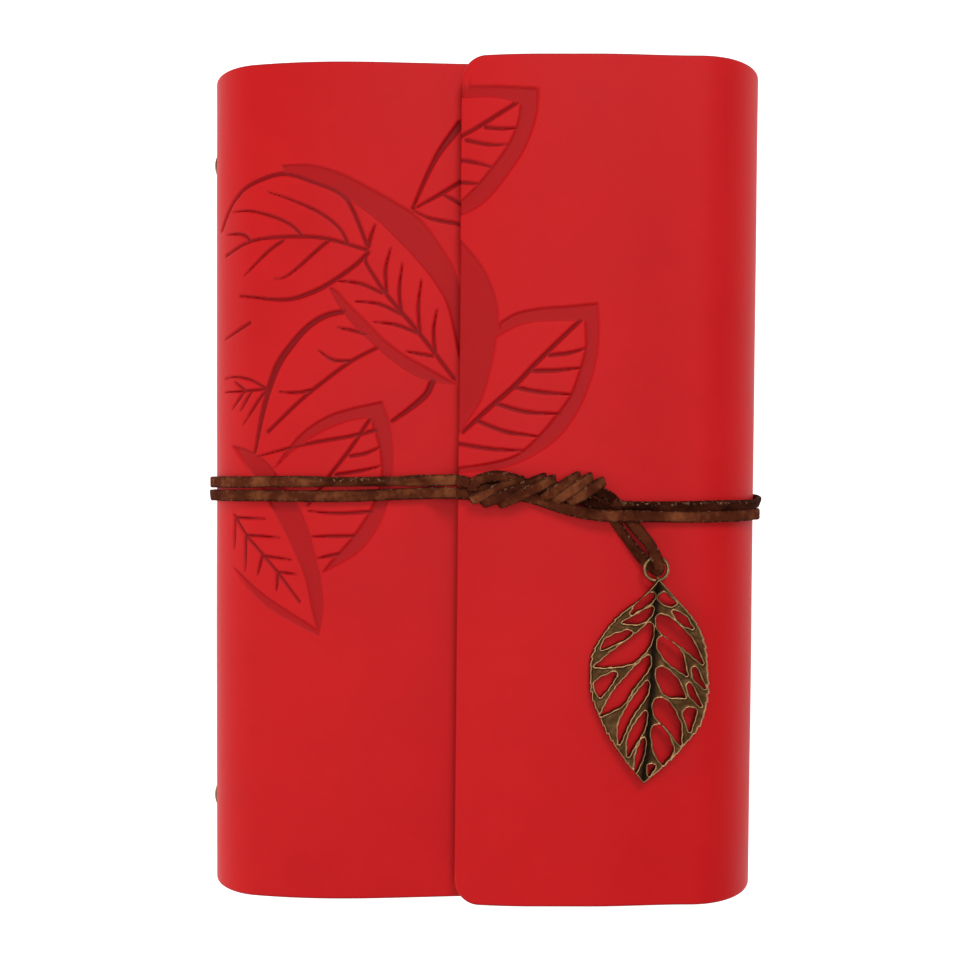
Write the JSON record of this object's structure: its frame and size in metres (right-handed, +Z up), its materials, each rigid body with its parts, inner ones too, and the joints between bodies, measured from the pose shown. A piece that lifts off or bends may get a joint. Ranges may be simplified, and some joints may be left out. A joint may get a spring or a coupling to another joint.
{
  "type": "pocket notebook",
  "caption": "Soft leather notebook with embossed leaves, a wrap-around flap held by a knotted lace with a leaf charm, and punched pages on a ring mechanism.",
  "frame": {"origin": "centre of the closed book's outline, on the surface it lies on", "axes": "+Z up through the front cover, +Y towards the head, spine on -X, fore-edge on +X"},
  "size_m": [0.1282, 0.185, 0.0387],
  "materials": {
    "red_leather": "smooth coated leather with an embossed pattern, satin",
    "lace": "matt suede-like brown lace",
    "bronze": "dark antique bronze with worn bright rims",
    "ring_steel": "nickel-plated",
    "paper": "matt cream paper"
  },
  "bodies": {
    "back": {"back_cover": "red_leather", "back_spine_fold": "red_leather", "back_fore_edge_fold": "red_leather", "tie_back_run": "lace"},
    "spine": {"spine_panel": "red_leather", "front_spine_fold": "red_leather", "ring_rail": "ring_steel", "head_lever_pin": "ring_steel", "foot_lever_pin": "ring_steel", "head_post": "ring_steel", "foot_post": "ring_steel", "head_rivet_cap": "bronze", "foot_rivet_cap": "bronze", "tie_spine_run": "lace"},
    "front": {"front_cover": "red_leather", "tie_front_run": "lace"},
    "front_blade": {"front_blade": "ring_steel", "front_ring_1": "ring_steel", "front_ring_2": "ring_steel", "front_ring_3": "ring_steel", "front_ring_4": "ring_steel", "front_ring_5": "ring_steel", "front_ring_6": "ring_steel"},
    "back_blade": {"back_blade": "ring_steel", "back_ring_1": "ring_steel", "back_ring_2": "ring_steel", "back_ring_3": "ring_steel", "back_ring_4": "ring_steel", "back_ring_5": "ring_steel", "back_ring_6": "ring_steel"},
    "head_lever": {"head_lever": "ring_steel"},
    "foot_lever": {"foot_lever": "ring_steel"},
    "fore_edge": {"fore_edge_panel": "red_leather", "front_fore_edge_fold": "red_leather", "tie_fore_edge_run": "lace"},
    "flap": {"cover_flap": "red_leather", "tie_flap_run": "lace", "tie_knot": "lace", "tie_tail": "lace"},
    "ring": {"jump_ring": "bronze"},
    "charm": {"leaf_charm": "bronze"},
    "front_pages_1": {"front_pages_1": "paper"},
    "front_pages_2": {"front_pages_2": "paper"},
    "front_pages_3": {"front_pages_3": "paper"},
    "back_pages_1": {"back_pages_1": "paper"},
    "back_pages_2": {"back_pages_2": "paper"},
    "back_pages_3": {"back_pages_3": "paper"}
  },
  "joints": [
    {"name": "book_open", "type": "hinge", "parent": "back", "child": "spine", "pos_m": [-0.0596, 0, 0.0046], "axis": [0, 1, 0], "range_deg": [-90, 0], "deforming": ["back_spine_fold", "front_spine_fold", "front_cover", "tie_front_run", "tie_spine_run", "front_pages_1", "front_pages_2", "front_pages_3"]},
    {"name": "front_fold", "type": "hinge", "parent": "spine", "child": "front", "pos_m": [-0.0596, 0, 0.0269], "axis": [0, 1, 0], "range_deg": [-90, 0]},
    {"name": "flap_open", "type": "hinge", "parent": "back", "child": "fore_edge", "pos_m": [0.0596, 0, 0.0046], "axis": [0, 1, 0], "range_deg": [0, 90], "deforming": ["back_fore_edge_fold", "front_fore_edge_fold", "tie_fore_edge_run", "tie_flap_run", "tie_back_run"]},
    {"name": "flap_fold", "type": "hinge", "parent": "fore_edge", "child": "flap", "pos_m": [0.0596, 0, 0.03], "axis": [0, 1, 0], "range_deg": [0, 90]},
    {"name": "rings_open", "type": "hinge", "parent": "spine", "child": "front_blade", "pos_m": [-0.05785, 0, 0.0198], "axis": [0, 1, 0], "range_deg": [-7, 0]},
    {"name": "back_blade_turn", "type": "hinge", "parent": "spine", "child": "back_blade", "pos_m": [-0.05785, 0, 0.0092], "axis": [0, 1, 0], "range_deg": [0, 7]},
    {"name": "head_lever_turn", "type": "hinge", "parent": "spine", "child": "head_lever", "pos_m": [-0.0576, 0.0845, 0.0145], "axis": [0, 0, 1], "range_deg": [0, 22]},
    {"name": "foot_lever_turn", "type": "hinge", "parent": "spine", "child": "foot_lever", "pos_m": [-0.0576, -0.0845, 0.0145], "axis": [0, 0, 1], "range_deg": [-22, 0]},
    {"name": "ring_swing", "type": "hinge", "parent": "flap", "child": "ring", "pos_m": [0.0364, -0.01825, 0.036], "axis": [0, 0, 1], "range_deg": [-40, 40]},
    {"name": "charm_lift", "type": "hinge", "parent": "ring", "child": "charm", "pos_m": [0.0373, -0.02162, 0.036], "axis": [1, 0, 0], "range_deg": [-110, 0]},
    {"name": "front_pages_1_turn", "type": "hinge", "parent": "spine", "child": "front_pages_1", "pos_m": [-0.04725, 0, 0.0145], "axis": [0, 1, 0], "range_deg": [-94, 0]},
    {"name": "front_pages_2_turn", "type": "hinge", "parent": "spine", "child": "front_pages_2", "pos_m": [-0.04725, 0, 0.0145], "axis": [0, 1, 0], "range_deg": [-94, 0]},
    {"name": "front_pages_3_turn", "type": "hinge", "parent": "spine", "child": "front_pages_3", "pos_m": [-0.04725, 0, 0.0145], "axis": [0, 1, 0], "range_deg": [-94, 0]},
    {"name": "back_pages_1_turn", "type": "hinge", "parent": "spine", "child": "back_pages_1", "pos_m": [-0.04725, 0, 0.0145], "axis": [0, 1, 0], "range_deg": [0, 90]},
    {"name": "back_pages_2_turn", "type": "hinge", "parent": "spine", "child": "back_pages_2", "pos_m": [-0.04725, 0, 0.0145], "axis": [0, 1, 0], "range_deg": [0, 90]},
    {"name": "back_pages_3_turn", "type": "hinge", "parent": "spine", "child": "back_pages_3", "pos_m": [-0.04725, 0, 0.0145], "axis": [0, 1, 0], "range_deg": [0, 90]}
  ],
  "couplings": [
    {"joint": "front_fold", "follows": "book_open", "ratio": 1},
    {"joint": "flap_fold", "follows": "flap_open", "ratio": 0.9},
    {"joint": "rings_open", "follows": "head_lever_turn", "ratio": -0.318},
    {"joint": "back_blade_turn", "follows": "head_lever_turn", "ratio": 0.318},
    {"joint": "foot_lever_turn", "follows": "head_lever_turn", "ratio": -1},
    {"joint": "front_pages_1_turn", "follows": "book_open", "ratio": 1},
    {"joint": "front_pages_2_turn", "follows": "book_open", "ratio": 1.02},
    {"joint": "front_pages_3_turn", "follows": "book_open", "ratio": 1.04},
    {"joint": "back_pages_1_turn", "follows": "book_open", "ratio": -0.98},
    {"joint": "back_pages_2_turn", "follows": "book_open", "ratio": -0.99},
    {"joint": "back_pages_3_turn", "follows": "book_open", "ratio": -1}
  ]
}
